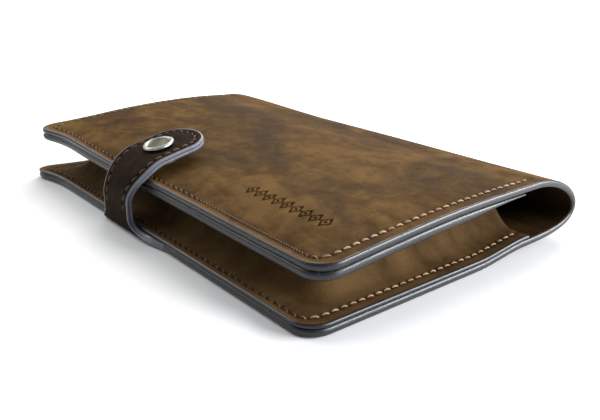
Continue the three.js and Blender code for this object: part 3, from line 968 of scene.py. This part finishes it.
# Outlines as (radius, height) above the front cover
CAP = [
    (0, 1.95), (1.1, 1.95), (1.1, 4.55), (3.9, 4.55), (4.15, 4.6), (4.3, 4.75), (4.34, 4.95),
    (4.28, 5.16), (4.12, 5.34), (3.9, 5.44), (3.66, 5.46), (3.45, 5.38), (3.3, 5.22),
    (3.2, 5.08), (3.05, 5.0), (2.8, 4.98), (2.3, 5.03), (1.7, 5.12), (1.0, 5.19),
    (0.4, 5.22), (0, 5.23),
]
SOCKET = [
    (2.35, 0.75), (2.5, 0.68), (4.1, 0.72), (4.4, 0.85), (4.52, 1.1), (4.5, 2.0), (4.35, 2.2),
    (4.1, 2.25), (1.45, 2.25), (1.45, 1.95), (2.3, 1.95), (2.35, 1.9), (2.35, 0.75),
]
STUD = [
    (0, 1.2), (0.85, 1.2), (0.85, 0.05), (4.3, 0.05), (4.42, 0.2), (4.38, 0.42), (4.2, 0.5),
    (1.3, 0.52), (1.12, 0.62), (1.08, 1.15), (1.3, 1.25), (1.62, 1.34), (1.65, 1.48),
    (1.45, 1.62), (1.2, 1.68), (0, 1.7),
]
POST = [
    (0, -4.85), (3.3, -4.85), (3.75, -4.8), (3.92, -4.62), (3.8, -4.42), (3.4, -4.35),
    (0.5, -4.33), (0.5, 0.85), (0, 0.85),
]
CAP_RIM = 3.25  # the cap is brighter outside this radius
WIRE_RING, WIRE, WIRE_HEIGHT, WIRE_SIDES = 1.8, 0.2, 0.95, 10


def snap_place(points):
    """Points of the snap's own frame, put in the case's."""
    base = np.array([SNAP_X, STRAP_Y, float(front_top(np.array(SNAP_X), np.array(STRAP_Y)))])
    turn = np.array(Matrix.Rotation(-SNAP_TILT, 3, "Y"))
    return points @ turn.T + base


def lathe(name, profile, body, node, sides=72):
    """A turned piece. Its outline either closes on itself or starts and ends on the axis."""
    radius, height = np.array(profile, float).T
    closed = profile[0] == profile[-1]
    if closed:
        radius, height = radius[:-1], height[:-1]
    angle = np.linspace(0, 2 * math.pi, sides, endpoint=False)
    reach = radius[:, None]
    points = [reach * np.cos(angle), reach * np.sin(angle), height[:, None] + 0 * angle]
    points = np.stack(points, -1)
    ids = np.arange(len(radius) * sides).reshape(len(radius), sides)
    if not closed:
        points[0], points[-1] = points[0].mean(0), points[-1].mean(0)
        ids[0], ids[-1] = ids[0, 0], ids[-1, 0]
    rows = list(zip(ids, np.roll(ids, -1, axis=0))) if closed else list(zip(ids, ids[1:]))
    faces = []
    for a, b in rows:
        for i in range(sides):
            loop = (a[i], a[(i + 1) % sides], b[(i + 1) % sides], b[i])
            faces.append([int(k) for k in dict.fromkeys(loop)])
    used = np.unique(ids)
    order = {int(k): n for n, k in enumerate(used)}
    faces = [[order[k] for k in loop] for loop in faces]
    flat = points.reshape(-1, 3)[used]
    spread = np.hypot(flat[:, 0], flat[:, 1])
    tone = smooth((spread - CAP_RIM + 0.15) / 0.3)
    attributes = {"tone": tone, "hide": flat + np.array([50.0, 0, 0])}
    finish_mesh(name, snap_place(flat), faces, attributes, brass, body, [node], 50)


def spring():
    """The socket's open ring of wire."""
    angle = np.radians(np.linspace(20, 340, 49))
    level = np.full(len(angle), WIRE_HEIGHT)
    centre = np.stack([WIRE_RING * np.cos(angle), WIRE_RING * np.sin(angle), level], 1)
    out = np.stack([np.cos(angle), np.sin(angle), 0 * angle], 1)
    around = np.linspace(0, 2 * math.pi, WIRE_SIDES, endpoint=False)[None, :, None]
    up = np.array([0, 0, 1.0])
    rings = centre[:, None] + WIRE * (out[:, None] * np.cos(around) + up * np.sin(around))
    ids = np.arange(rings.shape[0] * WIRE_SIDES).reshape(-1, WIRE_SIDES)
    after = np.roll(ids, -1, axis=1)
    faces = np.stack([ids[:-1], ids[1:], after[1:], after[:-1]], -1).reshape(-1, 4).tolist()
    faces += [ids[0].tolist(), ids[-1][::-1].tolist()]
    flat = rings.reshape(-1, 3)
    attributes = {"tone": np.full(len(flat), 0.8), "hide": flat}
    finish_mesh("snap_wire", snap_place(flat), faces, attributes, brass,
                "strap_tab", ["snap_spring"], 60)


def snap_pieces():
    lathe("cap_metal", CAP, "strap_tab", "snap_cap")
    lathe("socket_metal", SOCKET, "strap_tab", "snap_socket")
    lathe("stud_metal", STUD, "front", "snap_stud")
    lathe("post_metal", POST, "front", "snap_post")
    spring()


covers()
spine_pieces()
strap_pieces()
snap_pieces()


# ---- floor, light and camera ----

FLOOR, FLOOR_LEVEL = 6.0, -0.0002
SKY, SKY_STRENGTH = (0.93, 0.965, 1.0, 1.0), 0.32
LIGHTS = [  # name, place, what it points at, size, power, colour
    ("window", (0.50, 0.36, 0.60), (0.0, 0, 0), (0.7, 0.7), 9.7, (1.0, 0.985, 0.96)),
    ("strip", (0.62, -0.72, 0.34), (0.0, 0, 0.01), (0.80, 0.40), 22.0, (0.95, 0.97, 1.0)),
    ("fill", (-0.25, 0.55, 0.50), (-0.04, 0.05, 0), (0.5, 0.5), 3.0, (1.0, 0.99, 0.97)),
    ("backdrop", (0.75, 0.95, 0.5), (0.95, 1.35, 0), (1.0, 1.0), 14.0, (1.0, 1.0, 1.0)),
]
YAW, PITCH, ROLL = 0.6836, 0.3494, 0.0075
LENS, SENSOR, CLIP_START = 40.99, 36.0, 0.005
CAMERA_PLACE = (FORE_X - 0.0765, -0.1577, 0.0694)

def area_light(name, place, target, size, power, colour):
    light = bpy.data.lights.new(name, "AREA")
    light.shape, light.size, light.size_y = "RECTANGLE", size[0], size[1]
    light.energy, light.color = power, colour
    lamp = bpy.data.objects.new(name, light)
    lamp.location = place
    lamp.rotation_euler = (Vector(target) - Vector(place)).to_track_quat("-Z", "Y").to_euler()
    bpy.context.scene.collection.objects.link(lamp)


def studio():
    mesh = bpy.data.meshes.new("floor")
    corners = [(-1, -1), (1, -1), (1, 1), (-1, 1)]
    corners = [(x * FLOOR, y * FLOOR, FLOOR_LEVEL) for x, y in corners]
    mesh.from_pydata(corners, [], [(0, 1, 2, 3)])
    mesh.materials.append(floor_material())
    floor = bpy.data.objects.new("floor", mesh)
    bpy.context.scene.collection.objects.link(floor)
    world = bpy.data.worlds.new("studio")
    world.use_nodes = True
    background = world.node_tree.nodes["Background"]
    background.inputs["Color"].default_value = SKY
    background.inputs["Strength"].default_value = SKY_STRENGTH
    bpy.context.scene.world = world
    for light in LIGHTS:
        area_light(*light)
    bpy.context.scene.view_settings.view_transform = "Standard"


def camera():
    level = math.cos(PITCH)
    forward = Vector((math.sin(YAW) * level, math.cos(YAW) * level, -math.sin(PITCH)))
    right = Vector((math.cos(YAW), -math.sin(YAW), 0))
    up = right.cross(forward)
    level_right = right * math.cos(ROLL) + up * math.sin(ROLL)
    level_up = up * math.cos(ROLL) - right * math.sin(ROLL)
    turn = Matrix((level_right, level_up, -forward)).transposed().to_4x4()
    lens = bpy.data.cameras.new("camera")
    lens.lens, lens.sensor_width, lens.clip_start = LENS, SENSOR, CLIP_START
    view = bpy.data.objects.new("camera", lens)
    view.matrix_world = Matrix.Translation(CAMERA_PLACE) @ turn
    bpy.context.scene.collection.objects.link(view)
    bpy.context.scene.camera = view


studio()
camera()
